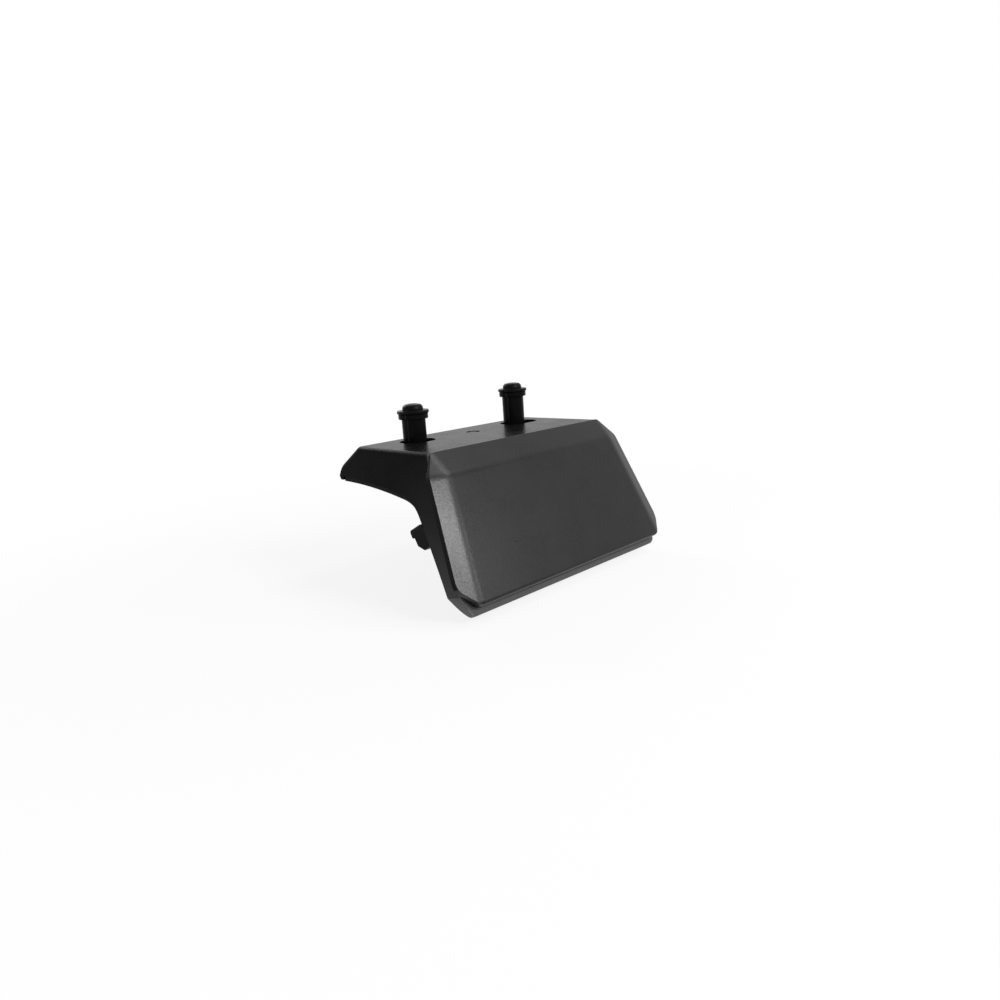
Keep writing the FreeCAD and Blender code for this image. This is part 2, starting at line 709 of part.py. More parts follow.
def cover_rounds(owner):
    """Soft creases between the cover's flat and bevels, and a rolled bottom edge."""
    flat = number("sizes.cover_flat")
    rim = number("sizes.cover_rim")
    brow = number("sizes.cover_gap")
    top = number("sizes.cover_top_bevel")
    length = number(COVER_LENGTH)
    shoulder = number("sizes.cover_shoulder")

    def crease(edge, middle):
        on_flat = abs(middle.z - flat) < NEAR and middle.y > shoulder - length
        hip = rim < middle.z < flat - NEAR and -top < middle.y < -brow - NEAR
        return on_flat or hip

    soften(owner, "cover_crease_round", "sizes.cover_crease_round", crease)
    roll = "sizes.cover_bottom_roll"
    foot = f"{roll} - {COVER_LENGTH}"
    below = f"-{COVER_LENGTH} - {roll}"
    edge = draw(sketch_in(owner, "cover_roll_side", "YZ_Plane"), [
        (f"-{COVER_LENGTH}", f"sizes.cover_flat - {roll}"), (foot, "sizes.cover_flat"),
        (foot, f"sizes.cover_flat + {roll}"), (below, f"sizes.cover_flat + {roll}"),
        (below, f"sizes.cover_flat - {roll}")], {0: (roll, 1)})
    pocket(owner, "cover_roll_cut", edge, "sizes.leg_half_width * 4", both_ways=True)


def cover_hollow(owner):
    """The hollow behind the cover, which leaves an even wall under the flat and the bevels."""
    rise = "(sizes.cover_flat - sizes.cover_brow) / (sizes.cover_top_bevel - sizes.cover_gap)"
    depth = f"sizes.cover_wall * sqrt(1 + ({rise})^2)"
    bottom = f"({COVER_LENGTH} - sizes.cover_wall)"
    knee = f"({COVER_CORNER} - sizes.cover_side_bevel)"
    sections = []
    for level, lift, side_wall in (
            ("mouth", "sizes.cover_gap", "sizes.cover_wall"),
            ("roof", "sizes.cover_flat - sizes.cover_wall", "sizes.cover_side_bevel")):
        top = f"(sizes.cover_gap + ({lift} + {depth} - sizes.cover_brow) / ({rise}))"
        points = mirrored([
            (f"{cover_edge_x(top)} - {side_wall} - sizes.cover_wall", f"-{top}"),
            (f"{cover_edge_x(knee)} - {side_wall}", f"-{knee}"),
            (f"{COVER_FOOT_X} - {side_wall}", f"-{bottom}"),
        ])
        sections.append(draw(sketch_in(owner, f"cover_hollow_{level}", "XY_Plane", lift), points))
    cut = owner.newObject("PartDesign::SubtractiveLoft", "cover_hollow_cut")
    cut.Profile = sections[0]
    cut.Sections = sections[1:]
    cut.Ruled = True


def cover_tongues(owner):
    """Two tongues that hook under the deck and two that spring over the leg's bottom wall."""
    def on_panel(y, z):
        return (f"({y} + sizes.deck_front) * sin(sizes.panel_lean) + ({z}) * cos(sizes.panel_lean)",
                f"({z}) * sin(sizes.panel_lean) - ({y} + sizes.deck_front) * cos(sizes.panel_lean)")

    hook_top = "-sizes.deck_thickness - sizes.cover_gap"
    hook_foot = f"{hook_top} - sizes.tongue_thickness"
    front = "(-sizes.deck_front - sizes.deck_thickness)"
    back = "(-sizes.deck_front + sizes.tongue_reach)"
    floor_top = "sizes.leg_length - sizes.wall - sizes.cover_gap"
    for side, sign in (("left", "-"), ("right", "")):
        middle = f"{sign}sizes.tongue_spacing / 2"
        hook = draw(sketch_in(owner, f"cover_hook_{side}", "YZ_Plane", middle),
                    [on_panel(front, hook_foot), on_panel(back, hook_foot),
                     on_panel(back, hook_top), on_panel(front, hook_top)])
        pad(owner, f"cover_hook_{side}_pad", hook, "sizes.tongue_width", both_ways=True)
        spring = draw(sketch_in(owner, f"cover_spring_{side}", "XY_Plane", "-sizes.tongue_reach"),
                      rectangle(f"{middle} - sizes.tongue_width / 2",
                                f"{middle} + sizes.tongue_width / 2",
                                f"-({floor_top})",
                                f"-({floor_top} - sizes.tongue_thickness)"))
        pad(owner, f"cover_spring_{side}_pad", spring, "sizes.tongue_reach + sizes.cover_wall")


def tip_points(shank, length):
    """Chamfered end of a screw's shank, for a half section."""
    return [
        ("0", f"-({length})"),
        (f"{shank} - sizes.screw_tip", f"-({length})"),
        (shank, f"sizes.screw_tip - ({length})"),
        (shank, "0"),
    ]


def screw_section(shank, length, head, height):
    """Half section of a screw whose head is domed in three cones."""
    rim = f"({height}) * sizes.dome_rim"
    crown = f"({head}) * sizes.dome_crown"
    dome = [(f"{crown} + (({head}) - {crown}) * cos({turn})",
             f"{rim} + (({height}) - {rim}) * sin({turn})") for turn in (0, 30, 60, 90)]
    return tip_points(shank, length) + [(head, "0")] + dome + [("0", height)]


def post_bolt(side, x, lift):
    """Button-head bolt with a hexagon socket."""
    owner = turned(f"{side}_post_bolt_body",
                   screw_section("sizes.bolt_diameter / 2", "sizes.bolt_length",
                                 "sizes.bolt_head_diameter / 2", "sizes.bolt_head_height"))
    socket = draw(sketch_in(owner, f"{side}_post_socket", "XY_Plane", "sizes.bolt_head_height"),
                  hexagon("sizes.bolt_socket"))
    pocket(owner, f"{side}_post_socket_cut", socket, "sizes.bolt_socket_depth")
    place(owner, x, "0", f"{SLEEVE_TOP} + {lift} + sizes.post_washer_thickness")
    return keep(owner, f"{side}_post_bolt")


def ring(inner, outer, low, high):
    """Half section of a ring with broken outer edges."""
    lip = f"{outer} - sizes.edge_break"
    return [(inner, low), (lip, low), (outer, f"{low} + sizes.edge_break"),
            (outer, f"{high} - sizes.edge_break"), (lip, high), (inner, high)]


def post_washer(side, x, lift):
    """Washer between a bolt's head and its sleeve."""
    owner = turned(f"{side}_post_washer_body",
                   ring("sizes.bolt_diameter / 2 + sizes.hole_clearance",
                        "sizes.post_washer_diameter / 2", "0", "sizes.post_washer_thickness"))
    place(owner, x, "0", f"{SLEEVE_TOP} + {lift}")
    return keep(owner, f"{side}_post_washer")


def post_sleeve(side, x, lift):
    """Flanged sleeve that spaces the washer from the nut."""
    flange = "-sizes.sleeve_flange_thickness"
    bore = "sizes.sleeve_bore / 2"
    barrel = "sizes.sleeve_diameter / 2"
    foot = f"{flange} - sizes.sleeve_barrel"
    rim = ring(barrel, "sizes.sleeve_flange_diameter / 2", flange, "0")
    owner = turned(f"{side}_post_sleeve_body",
                   [(bore, foot), (barrel, foot)] + rim[:-1] + [(bore, "0")])
    place(owner, x, "0", f"{SLEEVE_TOP} + {lift}")
    return keep(owner, f"{side}_post_sleeve")


def square_nut(name, width, height):
    """Square nut standing on its lower face."""
    owner = body(name + "_body")
    half = f"({width}) / 2"
    face = draw(sketch_in(owner, name + "_face", "XY_Plane"),
                rectangle(f"-{half}", half, f"-{half}", half))
    pad(owner, name + "_blank", face, height)
    bore = circle(sketch_in(owner, name + "_bore", "XY_Plane", height), "0", "0",
                  "sizes.bolt_diameter / 2 + sizes.thread_clearance")
    pocket(owner, name + "_bore_cut", bore, f"({height}) * 2", both_ways=True)
    return owner


def post_nut(side, x, lift):
    """Square nut under the deck."""
    owner = square_nut(f"{side}_post_nut", "sizes.post_nut_width", "sizes.post_nut_height")
    place(owner, x, "0", "-sizes.deck_thickness - sizes.post_nut_height")
    return keep(owner, f"{side}_post_nut")


def nut_strap():
    """Folded strap under the deck with a cup round each nut."""
    owner = body("nut_strap_body")
    metal = "sizes.strap_thickness"
    inner = "sizes.post_spacing / 2 - sizes.post_nut_width / 2 - sizes.strap_clearance"
    outer = "sizes.post_spacing / 2 + sizes.post_nut_width / 2 + sizes.strap_clearance"
    deck = "-sizes.deck_thickness - sizes.strap_clearance"
    cup = "-sizes.deck_thickness - sizes.post_nut_height - sizes.strap_clearance"
    section = mirrored([
        (inner, deck),
        (inner, cup),
        (outer, cup),
        (outer, deck),
        (f"{outer} + {metal}", deck),
        (f"{outer} + {metal}", f"{cup} - {metal}"),
        (f"{inner} - {metal}", f"{cup} - {metal}"),
        (f"{inner} - {metal}", f"{deck} - {metal}"),
    ])
    pad(owner, "strap_folded", draw(sketch_in(owner, "strap_section", "XZ_Plane"), section),
        "sizes.strap_width", both_ways=True)
    holes = sketch_in(owner, "strap_holes", "XY_Plane")
    for side, x, lift in POST_SIDES:
        circle(holes, x, "0", "sizes.strap_tip_hole / 2")
    circle(holes, "0", "-sizes.deck_screw_forward",
           "sizes.deck_screw_diameter / 2 + sizes.thread_clearance")
    pocket(owner, "strap_hole_cut", holes, "sizes.deck_thickness * 8", both_ways=True)
    return keep(owner, "nut_strap")


def deck_screw():
    """Small dome-head screw that holds the nut strap to the deck."""
    owner = turned("deck_screw_body",
                   screw_section("sizes.deck_screw_diameter / 2", "sizes.deck_screw_length",
                                 "sizes.deck_screw_head_diameter / 2",
                                 "sizes.deck_screw_head_height"))
    place(owner, "0", "-sizes.deck_screw_forward",
          "-sizes.deck_screw_head_height - sizes.deck_screw_recess")
    return keep(owner, "deck_screw")


def on_clamp(owner, x="0", out="0", up="0", turn="-sizes.leg_back_lean"):
    """Sets a clamp piece in the frame of the leg's back."""
    y, z = clamp_point(out, up)
    return place(owner, x, y, z, turn)


def clamp_jaw():
    """Hooked bar across the leg's back with a slot for each nut."""
    owner = body("clamp_jaw_body")
    back = "sizes.jaw_gap + sizes.jaw_depth"
    lip = f"{back} - sizes.jaw_lip_thickness"
    section = draw(sketch_in(owner, "jaw_section", "YZ_Plane"), [
        ("sizes.jaw_gap", "-sizes.jaw_bottom"),
        (f"{back} - sizes.jaw_chamfer", "-sizes.jaw_bottom"),
        (back, "-sizes.jaw_bottom + sizes.jaw_chamfer"),
        (back, "-sizes.jaw_lip_top"),
        (lip, "-sizes.jaw_lip_top"),
        (lip, "-sizes.jaw_top"),
        ("sizes.jaw_gap", "-sizes.jaw_top"),
    ])
    pad(owner, "jaw_bar", section, "sizes.jaw_half_width * 2", both_ways=True)
    holes = sketch_in(owner, "jaw_screw_holes", "XZ_Plane")
    slots = {side: sketch_in(owner, f"jaw_nut_slot_{side}", "XY_Plane",
                             "-sizes.jaw_bottom - sizes.jaw_chamfer")
             for side, x in CLAMP_SIDES}
    half = "sizes.clamp_nut_width / 2 + sizes.strap_clearance"
    for side, x in CLAMP_SIDES:
        circle(holes, x, "-sizes.clamp_axis_drop", "sizes.bolt_diameter / 2 + sizes.hole_clearance")
        draw(slots[side], rectangle(f"{x} - ({half})", f"{x} + {half}",
                                    f"{JAW_NUT_OUT} - sizes.strap_clearance",
                                    f"{JAW_NUT_OUT} + sizes.clamp_nut_height"
                                    " + sizes.strap_clearance"))
    pocket(owner, "jaw_hole_cut", holes, "sizes.leg_length", both_ways=True)
    for side, x in CLAMP_SIDES:
        pocket(owner, f"jaw_slot_{side}_cut", slots[side],
               f"sizes.jaw_bottom + sizes.jaw_chamfer - sizes.clamp_axis_drop + {half}",
               upward=True)
    return keep(on_clamp(owner), "clamp_jaw")


def jaw_pad():
    """Rubber cap over the jaw's hook."""
    owner = body("jaw_pad_body")
    back = "sizes.jaw_gap + sizes.jaw_depth"
    lip = f"{back} - sizes.jaw_lip_thickness"
    skin = "sizes.jaw_pad_thickness"
    foot = "-sizes.jaw_lip_top - sizes.jaw_pad_skirt"
    section = draw(sketch_in(owner, "jaw_pad_section", "YZ_Plane"), [
        (f"{lip} - {skin}", "-sizes.jaw_top"),
        (lip, "-sizes.jaw_top"),
        (lip, "-sizes.jaw_lip_top"),
        (back, "-sizes.jaw_lip_top"),
        (back, foot),
        (f"{back} + {skin}", foot),
        (f"{back} + {skin}", f"-sizes.jaw_lip_top + {skin}"),
        (f"{lip} - {skin}", f"-sizes.jaw_lip_top + {skin}"),
    ])
    pad(owner, "jaw_pad_cap", section, "sizes.jaw_half_width * 2", both_ways=True)
    doc.recompute()
    top = number(f"-sizes.jaw_lip_top + {skin}")
    cap = owner.Tip
    edges = edges_where(cap.Shape, lambda edge, middle: abs(middle.z - top) < NEAR
                        and abs(middle.x) < NEAR)
    rolled = owner.newObject("PartDesign::Fillet", "jaw_pad_round")
    rolled.Base = (cap, [f"Edge{index}" for index in edges])
    rolled.setExpression("Radius", "sizes.jaw_pad_round")
    return keep(on_clamp(owner), "jaw_pad")


def clamp_screw(side, x):
    """Socket-head screw that reaches through the leg's back into the jaw's nut."""
    head = "sizes.clamp_head_diameter / 2"
    height = "sizes.clamp_head_height"
    shaft = tip_points("sizes.bolt_diameter / 2", "sizes.clamp_screw_length")
    owner = turned(f"{side}_clamp_screw_body", shaft + [
        (head, "0"),
        (head, f"{height} - sizes.clamp_head_chamfer"),
        (f"{head} - sizes.clamp_head_chamfer", height),
        ("0", height),
    ])
    socket = draw(sketch_in(owner, f"{side}_clamp_socket", "XY_Plane", height),
                  hexagon("sizes.clamp_socket"))
    pocket(owner, f"{side}_clamp_socket_cut", socket, "sizes.clamp_socket_depth")
    return keep(on_clamp(owner, x, "-sizes.wall - sizes.clamp_washer_thickness",
                         "-sizes.clamp_axis_drop", CLAMP_TURN), f"{side}_clamp_screw")


def clamp_washer(side, x):
    """Washer under a clamp screw's head."""
    owner = turned(f"{side}_clamp_washer_body",
                   ring("sizes.bolt_diameter / 2 + sizes.hole_clearance",
                        "sizes.clamp_washer_diameter / 2", "0", "sizes.clamp_washer_thickness"))
    return keep(on_clamp(owner, x, "-sizes.wall", "-sizes.clamp_axis_drop", CLAMP_TURN),
                f"{side}_clamp_washer")


def clamp_nut(side, x):
    """Square nut in the jaw's slot."""
    owner = square_nut(f"{side}_clamp_nut", "sizes.clamp_nut_width", "sizes.clamp_nut_height")
    return keep(on_clamp(owner, x, f"{JAW_NUT_OUT} + sizes.clamp_nut_height",
                         "-sizes.clamp_axis_drop", CLAMP_TURN), f"{side}_clamp_nut")


leg_casting()
saddle_pad()
front_cover()
for post in POST_SIDES:
    post_bolt(*post)
    post_washer(*post)
    post_sleeve(*post)
    post_nut(*post)
nut_strap()
deck_screw()
clamp_jaw()
jaw_pad()
for clamp in CLAMP_SIDES:
    clamp_screw(*clamp)
    clamp_washer(*clamp)
    clamp_nut(*clamp)
doc.recompute()

failed = [o.Name for o in doc.Objects if "Invalid" in o.State or "Error" in o.State]
failed += [o.Label for o in SUBPARTS if o.Shape.isNull() or not o.Shape.isValid()]
if failed:
    raise RuntimeError(f"not built: {failed}")

os.makedirs("parts", exist_ok=True)
for piece in SUBPARTS:
    piece.Shape.exportStep(os.path.join("parts", piece.Label + ".step"))
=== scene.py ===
import json
import math

import bmesh
import bpy
from mathutils import Matrix, Vector


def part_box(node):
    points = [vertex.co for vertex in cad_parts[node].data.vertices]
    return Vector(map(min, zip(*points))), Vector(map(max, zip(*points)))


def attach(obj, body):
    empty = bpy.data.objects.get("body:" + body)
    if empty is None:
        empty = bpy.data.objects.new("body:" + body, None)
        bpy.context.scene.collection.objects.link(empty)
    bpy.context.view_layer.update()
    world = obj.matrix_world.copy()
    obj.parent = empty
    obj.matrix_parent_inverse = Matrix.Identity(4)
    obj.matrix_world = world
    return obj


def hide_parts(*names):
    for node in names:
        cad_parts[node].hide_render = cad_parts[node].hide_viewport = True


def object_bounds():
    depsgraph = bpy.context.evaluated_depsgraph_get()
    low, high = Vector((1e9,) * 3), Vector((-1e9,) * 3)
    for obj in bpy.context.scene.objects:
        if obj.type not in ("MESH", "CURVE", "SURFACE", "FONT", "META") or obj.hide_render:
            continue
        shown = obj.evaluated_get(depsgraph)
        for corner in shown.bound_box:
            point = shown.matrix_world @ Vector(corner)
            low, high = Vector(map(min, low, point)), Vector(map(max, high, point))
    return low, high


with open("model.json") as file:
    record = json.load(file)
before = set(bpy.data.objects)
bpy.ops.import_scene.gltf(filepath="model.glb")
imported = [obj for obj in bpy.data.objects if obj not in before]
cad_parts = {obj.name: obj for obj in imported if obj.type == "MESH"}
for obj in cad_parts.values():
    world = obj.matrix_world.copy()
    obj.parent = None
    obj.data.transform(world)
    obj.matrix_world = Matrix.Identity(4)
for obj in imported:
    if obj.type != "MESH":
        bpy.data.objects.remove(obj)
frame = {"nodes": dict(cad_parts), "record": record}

# Roof rail foot: cast leg with a moulded cover, two bolted posts and a hooked clamp.
# Metres, in the frame of the solids: X along the rail, +Y towards the rail, +Z up.

CAD_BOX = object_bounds()
MM = 0.001

# The leg's open front leans back from the deck's front edge. Points on it are given as the
# distance across, down from the deck and out from the front.
PANEL_LEAN = math.radians(24.3)
PANEL_TOP = Vector((0, -38.6 * MM, 0))
PANEL_DOWN = Vector((0, -math.sin(PANEL_LEAN), -math.cos(PANEL_LEAN)))
PANEL_OUT = Vector((0, -math.cos(PANEL_LEAN), math.sin(PANEL_LEAN)))

# The cover's sizes follow its solid. Its back and its top edge stand off by the same gap.
COVER_GAP = 0.3 * MM
COVER_FOOT = 72.2 * MM
COVER_FLAT = 5.9 * MM
COVER_WALL = 2.5 * MM
COVER_BROW = 1.2 * MM
COVER_RIM = 3.2 * MM
TOP_BEVEL = 12.9 * MM
SIDE_BEVEL = 9.0 * MM
BOTTOM_ROLL = 1.7 * MM
TOP_HALF_WIDTH = 62.0 * MM
SHOULDER_HALF_WIDTH = 69.5 * MM
SHOULDER_DOWN = 11.6 * MM
SIDE_SLOPE = 0.1496
CORNER_RISE = 10.0 * MM
CORNER_RUN = 8.8 * MM
CREASE_DEPTH = 0.16 * MM
# Corner radii of the cover's outline, from its top edge round to its foot.
TOP_RADIUS = 1.5 * MM
SHOULDER_RADIUS = 6.0 * MM
CORNER_RADIUS = 7.2 * MM
FOOT_RADIUS = 4.0 * MM

# The cover's mesh runs in rings from its outline to its heart, a flat patch in the middle that is
# given as shares of the outline. The rings of the face crowd towards the outline.
OUTLINE_STEP = 1.2 * MM
HEART_ACROSS = 0.7
HEART_DOWN = 0.42
FACE_RINGS = 40
RING_CROWDING = 1.5
HOLLOW_RINGS = 10
# Share of the way from the outline to the heart that the cover's seating rim takes.
RIM_SHARE = 0.12

# The leg's rim is painted paler as painted light: how far behind the open front it fades out on the face
# and on the bottom edge, and the height above the cover's foot over which the edge's part starts.
RIM_FACE_FADE = (-0.6 * MM, -0.2 * MM)
RIM_EDGE_FADE = (-3.5 * MM, -2.0 * MM)
RIM_FOOT_FADE = 0.6 * MM

# Distances within which points are one, and the turn between faces that makes a sharp edge.
COVER_WELD = 0.002 * MM
SCREW_WELD = 0.001 * MM
SHARP_TURN = math.radians(35)

# Range of the two noises of a finish, added up, that its tones and its gloss are spread over.
NOISE_LOW = 0.7
NOISE_HIGH = 1.3
# Height of a finish's grain as a share of its width.
GRAIN_LIFT = 0.2


def linear(hex_colour):
    """An sRGB hex colour as linear RGBA."""
    parts = [int(hex_colour[i:i + 2], 16) / 255 for i in (1, 3, 5)]
    return tuple(c / 12.92 if c <= 0.04045 else ((c + 0.055) / 1.055) ** 2.4 for c in parts) + (1,)


def node(tree, kind, inputs=None, **settings):
    """Adds a node; inputs maps socket names or numbers to values or to other sockets."""
    made = tree.nodes.new(kind)
    for name, value in settings.items():
        setattr(made, name, value)
    for name, value in (inputs or {}).items():
        if isinstance(value, bpy.types.NodeSocket):
            tree.links.new(value, made.inputs[name])
        else:
            made.inputs[name].default_value = value
    return made


def finish(name, **constants):
    """A new material with its shader, its tree and object coordinates in metres."""
    material = bpy.data.materials.new(name)
    material.use_nodes = True
    tree = material.node_tree
    shader = tree.nodes["Principled BSDF"]
    for socket, value in constants.items():
        shader.inputs[socket.replace("_", " ")].default_value = value
    place = node(tree, "ShaderNodeTexCoord").outputs["Object"]
    return material, tree, shader, place


def per_mm(size):
    """Texture scale, in repeats per metre, of a pattern whose grains are this many mm."""
    return 1 / (size * MM)


def mottle(tree, shader, place, dark, light, grain, patch, bump, rough):
    """Two drifting tones, a raised grain and uneven gloss; grain and patch are widths in mm."""
    drift = node(tree, "ShaderNodeTexNoise",
                 {"Vector": place, "Scale": per_mm(patch), "Detail": 3.0, "Roughness": 0.6})
    speck = node(tree, "ShaderNodeTexNoise",
                 {"Vector": place, "Scale": per_mm(grain), "Detail": 2.0, "Roughness": 0.55})
    both = node(tree, "ShaderNodeMath", {0: drift.outputs["Fac"], 1: speck.outputs["Fac"]},
                operation="ADD")
    tone = node(tree, "ShaderNodeMapRange",
                {"Value": both.outputs[0], "From Min": NOISE_LOW, "From Max": NOISE_HIGH})
    colour = node(tree, "ShaderNodeMix", {0: tone.outputs[0], 6: linear(dark), 7: linear(light)},
                  data_type="RGBA")
    gloss = node(tree, "ShaderNodeMapRange",
                 {"Value": both.outputs[0], "From Min": NOISE_LOW, "From Max": NOISE_HIGH,
                  "To Min": rough[0], "To Max": rough[1]})
    lift = node(tree, "ShaderNodeBump",
                {"Height": speck.outputs["Fac"], "Strength": bump,
                 "Distance": grain * MM * GRAIN_LIFT})
    tree.links.new(colour.outputs[2], shader.inputs["Base Color"])
    tree.links.new(gloss.outputs[0], shader.inputs["Roughness"])
    tree.links.new(lift.outputs[0], shader.inputs["Normal"])
    return colour.outputs[2]


def along(tree, place, direction, origin):
    """Distance of a point from an origin along a direction."""
    step = node(tree, "ShaderNodeVectorMath", {0: place, 1: origin}, operation="SUBTRACT")
    return node(tree, "ShaderNodeVectorMath", {0: step.outputs[0], 1: direction},
                operation="DOT_PRODUCT").outputs["Value"]


def rim_light_mask(tree, place):
    """Painted-light mask: one on the face of the leg's open front and on its bottom edge, nought
    elsewhere.
    """
    down = along(tree, place, PANEL_DOWN, PANEL_TOP)
    out = along(tree, place, PANEL_OUT, PANEL_TOP)
    low = node(tree, "ShaderNodeMapRange",
               {"Value": down, "From Min": COVER_FOOT - RIM_FOOT_FADE, "From Max": COVER_FOOT})
    near = node(tree, "ShaderNodeMapRange",
                {"Value": out, "From Min": RIM_EDGE_FADE[0], "From Max": RIM_EDGE_FADE[1]})
    edge = node(tree, "ShaderNodeMath", {0: low.outputs[0], 1: near.outputs[0]},
                operation="MULTIPLY")
    face = node(tree, "ShaderNodeMapRange",
                {"Value": out, "From Min": RIM_FACE_FADE[0], "From Max": RIM_FACE_FADE[1]})
    return node(tree, "ShaderNodeMath", {0: edge.outputs[0], 1: face.outputs[0]},
                operation="MAXIMUM").outputs[0]


def powder_coated_casting():
    """Micro-rough powder coat on die-cast aluminium: near black seen squarely, pale sheen at a graze."""
    material, tree, shader, place = finish("powder_coated_die_cast_aluminium", IOR=1.5,
                                           Specular_IOR_Level=0.025)
    # The real peel is about 0.5 mm; it is drawn at 1.2 mm so that it shows at this distance.
    coat = mottle(tree, shader, place, "#09090a", "#101011",
                  grain=1.2, patch=14, bump=0.06, rough=(0.23, 0.32))
    # Painted light: the rim round the cover is painted paler than the rest, standing in for light from
    # the floor.
    painted_rim_light = node(tree, "ShaderNodeMix",
                  {0: rim_light_mask(tree, place), 6: coat, 7: linear("#525253")}, data_type="RGBA")
    tree.links.new(painted_rim_light.outputs[2], shader.inputs["Base Color"])
    return material


def moulded_nylon():
    """Glass-filled nylon moulded in a spark-eroded tool: black with an even grain and a soft sheen."""
    material, tree, shader, place = finish("moulded_glass_filled_nylon", IOR=1.5,
                                           Specular_IOR_Level=0.23)
    # The tool's grain is about 0.3 mm; it is drawn at 1.0 mm so that it shows.
    mottle(tree, shader, place, "#0d0d0e", "#141415",
           grain=1.0, patch=22, bump=0.25, rough=(0.27, 0.34))
    return material


def painted_shade_nylon_edge():
    """The side edge of the nylon cover: hardly grained, duller, and painted darker than the face as
    painted shade.
    """
    material, tree, shader, place = finish("moulded_nylon_edge_painted_shade", IOR=1.5, Specular_IOR_Level=0.06)
    # The real grain is finer; it is drawn at 0.8 mm so that it shows.
    # Painted shade: tones darker than the face's, for the shade in the gap beside the cover's edge.
    mottle(tree, shader, place, "#060607", "#0b0b0c",
           grain=0.8, patch=9, bump=0.1, rough=(0.5, 0.6))
    return material


def black_rubber():
    """Moulded EPDM rubber: near black and dull, with a faint bloom in patches."""
    material, tree, shader, place = finish("moulded_epdm_rubber", IOR=1.5, Specular_IOR_Level=0.15)
    # The mould's texture is finer; it is drawn at 0.9 mm so that it shows.
    mottle(tree, shader, place, "#0b0b0b", "#151515",
           grain=0.9, patch=9, bump=0.35, rough=(0.7, 0.88))
    return material


def black_steel():
    """Steel with a black zinc coat: near black and smooth, with a low and slightly uneven sheen."""
    material, tree, shader, place = finish("black_zinc_coated_steel", IOR=1.5,
                                           Specular_IOR_Level=0.05)
    # The coat's grain is finer; it is drawn at 0.6 mm so that it shows.
    mottle(tree, shader, place, "#070708", "#101011",
           grain=0.6, patch=4, bump=0.12, rough=(0.3, 0.42))
    return material


def black_acetal():
    """Turned black acetal: near black and smooth, with narrow upright highlights on the barrels."""
    material, tree, shader, place = finish("turned_black_acetal", IOR=1.5, Specular_IOR_Level=0.04)
    # The tool marks are finer; they are drawn as a 0.7 mm grain so that they show.
    mottle(tree, shader, place, "#050505", "#0b0b0b",
           grain=0.7, patch=5, bump=0.05, rough=(0.16, 0.22))
    return material


def zinc_steel():
    """Bright zinc-plated steel: pale grey metal, a little cloudy."""
    material, tree, shader, place = finish("bright_zinc_plated_steel", Metallic=1.0)
    # The plating's grain is finer; it is drawn at 0.5 mm so that it shows.
    mottle(tree, shader, place, "#8f9091", "#bdbbb4",
           grain=0.5, patch=3, bump=0.15, rough=(0.28, 0.45))
    return material


def anodised_bar():
    """Black anodised aluminium extrusion: near black with a fine satin."""
    material, tree, shader, place = finish("black_anodised_aluminium", IOR=1.5,
                                           Specular_IOR_Level=0.05)
    # The satin is finer; it is drawn at 0.8 mm so that it shows.
    mottle(tree, shader, place, "#08080a", "#0f0f11",
           grain=0.8, patch=6, bump=0.2, rough=(0.32, 0.46))
    return material


FINISHES = {
    "casting_coat": powder_coated_casting(),
    "cover_plastic": moulded_nylon(),
    "black_rubber": black_rubber(),
    "black_steel": black_steel(),
    "sleeve_plastic": black_acetal(),
    "plated_steel": zinc_steel(),
    "jaw_coat": anodised_bar(),
}

for subpart in frame["record"]["subparts"]:
    solid = frame["nodes"][subpart["node"]]
    solid.data.materials.clear()
    solid.data.materials.append(FINISHES[subpart["material_slot"]])


def add_object(name, data):
    """A new object in the scene."""
    made = bpy.data.objects.new(name, data)
    bpy.context.scene.collection.objects.link(made)
    return made


def skin(made, rings, material=0):
    """Faces between each ring of points and the next."""
    for one, two in zip(rings, rings[1:]):
        for index in range(len(one)):
            made.faces.new((one[index - 1], one[index], two[index], two[index - 1])
                           ).material_index = material


def smooth_piece(name, made, *materials):
    """An object from a finished mesh: smooth, with its sharp edges kept and its materials listed."""
    bmesh.ops.recalc_face_normals(made, faces=made.faces[:])
    mesh = bpy.data.meshes.new(name)
    made.to_mesh(mesh)
    made.free()
    mesh.shade_smooth()
    mesh.set_sharp_from_angle(angle=SHARP_TURN)
    for material in materials:
        mesh.materials.append(material)
    return add_object(name, mesh)


def side_half_width(down):
    """Half width of the cover's straight side, drawn on past its ends."""
    return SHOULDER_HALF_WIDTH + SIDE_SLOPE * (down - SHOULDER_DOWN)


def soft_min(first, second):
    """The lower of two heights, with the crease where they cross rounded off."""
    overlap = max(4 * CREASE_DEPTH - abs(first - second), 0)
    return min(first, second) - overlap ** 2 / (16 * CREASE_DEPTH)


def height_on(first, second, third, across, down):
    """Height of the plane through three points of the cover's face."""
    normal = (second - first).cross(third - first)
    return first.z - (normal.x * (across - first.x) + normal.y * (down - first.y)) / normal.z


def cover_height(across, down):
    """How far the cover's face stands out: a flat with bevels on top, sides and shoulders."""
    across = abs(across)
    rise = (COVER_FLAT - COVER_RIM) / SIDE_BEVEL
    top = Vector((TOP_HALF_WIDTH, COVER_GAP, COVER_BROW))
    side = Vector((SHOULDER_HALF_WIDTH, SHOULDER_DOWN, COVER_RIM))
    inner = Vector((side_half_width(TOP_BEVEL) - SIDE_BEVEL, TOP_BEVEL, COVER_FLAT))
    height = COVER_FLAT
    for plane in (
            COVER_BROW + (COVER_FLAT - COVER_BROW) * (down - COVER_GAP) / (TOP_BEVEL - COVER_GAP),
            COVER_RIM + rise * (side_half_width(down) - across),
            height_on(top, side, inner, across, down)):
        height = soft_min(height, plane)
    left = max(BOTTOM_ROLL - (COVER_FOOT - down), 0)
    return min(height, COVER_FLAT - BOTTOM_ROLL + math.sqrt(max(BOTTOM_ROLL ** 2 - left ** 2, 0)))


